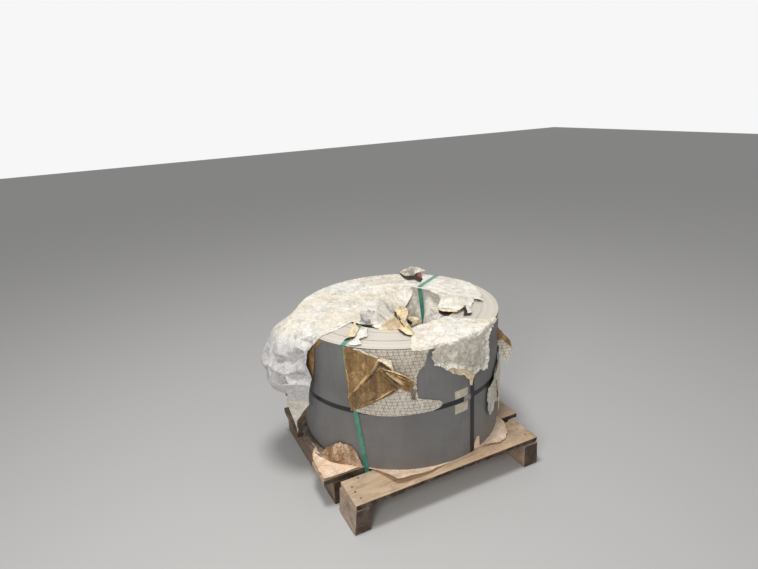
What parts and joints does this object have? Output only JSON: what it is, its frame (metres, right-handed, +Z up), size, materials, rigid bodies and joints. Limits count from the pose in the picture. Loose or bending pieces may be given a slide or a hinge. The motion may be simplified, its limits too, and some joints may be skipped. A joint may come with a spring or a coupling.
{
  "type": "steel coil on a timber skid",
  "caption": "Slit steel coil standing on its end on a rough timber skid, held by bands and straps, with torn paper wrapper left on it.",
  "frame": {"origin": "on the floor, under the middle of the whole load's outline", "axes": "+Z up along the coil's axis, X along the deck boards, Y along the two runners; the front of the picture lies towards -X and -Y"},
  "size_m": [1.0128, 0.952, 0.7128],
  "materials": {
    "coil_steel": "satin grey wound strip edges, bare and lightly marked",
    "timber": "rough sawn softwood, weathered and dirty",
    "wrapper_paper": "coated pale face of reinforced wrapper, creased and torn",
    "kraft_paper": "brown kraft side, matt",
    "black_band": "black lacquered steel banding, satin",
    "bare_clip": "crimped zinc-coated clip",
    "green_strap": "embossed polyester strapping, half gloss",
    "tape": "pale adhesive tape, dusty"
  },
  "bodies": {
    "root": {"coil": "coil_steel", "deck_board_1": "timber", "deck_board_2": "timber", "deck_board_3": "timber", "deck_board_4": "timber", "runner_left": "timber", "runner_right": "timber", "front_block_left": "timber", "front_block_right": "timber", "back_block_left": "timber", "back_block_right": "timber", "base_paper": "kraft_paper", "waist_band": "black_band", "waist_seal": "bare_clip", "tape_upper": "tape", "tape_lower": "tape", "eye_band": "black_band", "strap_front": "green_strap", "strap_back": "green_strap", "top_cover": "wrapper_paper", "front_cover": "wrapper_paper", "bore_liner": "wrapper_paper", "outer_wrap": "wrapper_paper", "torn_wrap": "wrapper_paper", "low_wrap": "wrapper_paper", "kraft_flap": "kraft_paper", "left_drape": "wrapper_paper", "kraft_tuft": "kraft_paper", "right_flap": "kraft_paper"}
  },
  "joints": []
}
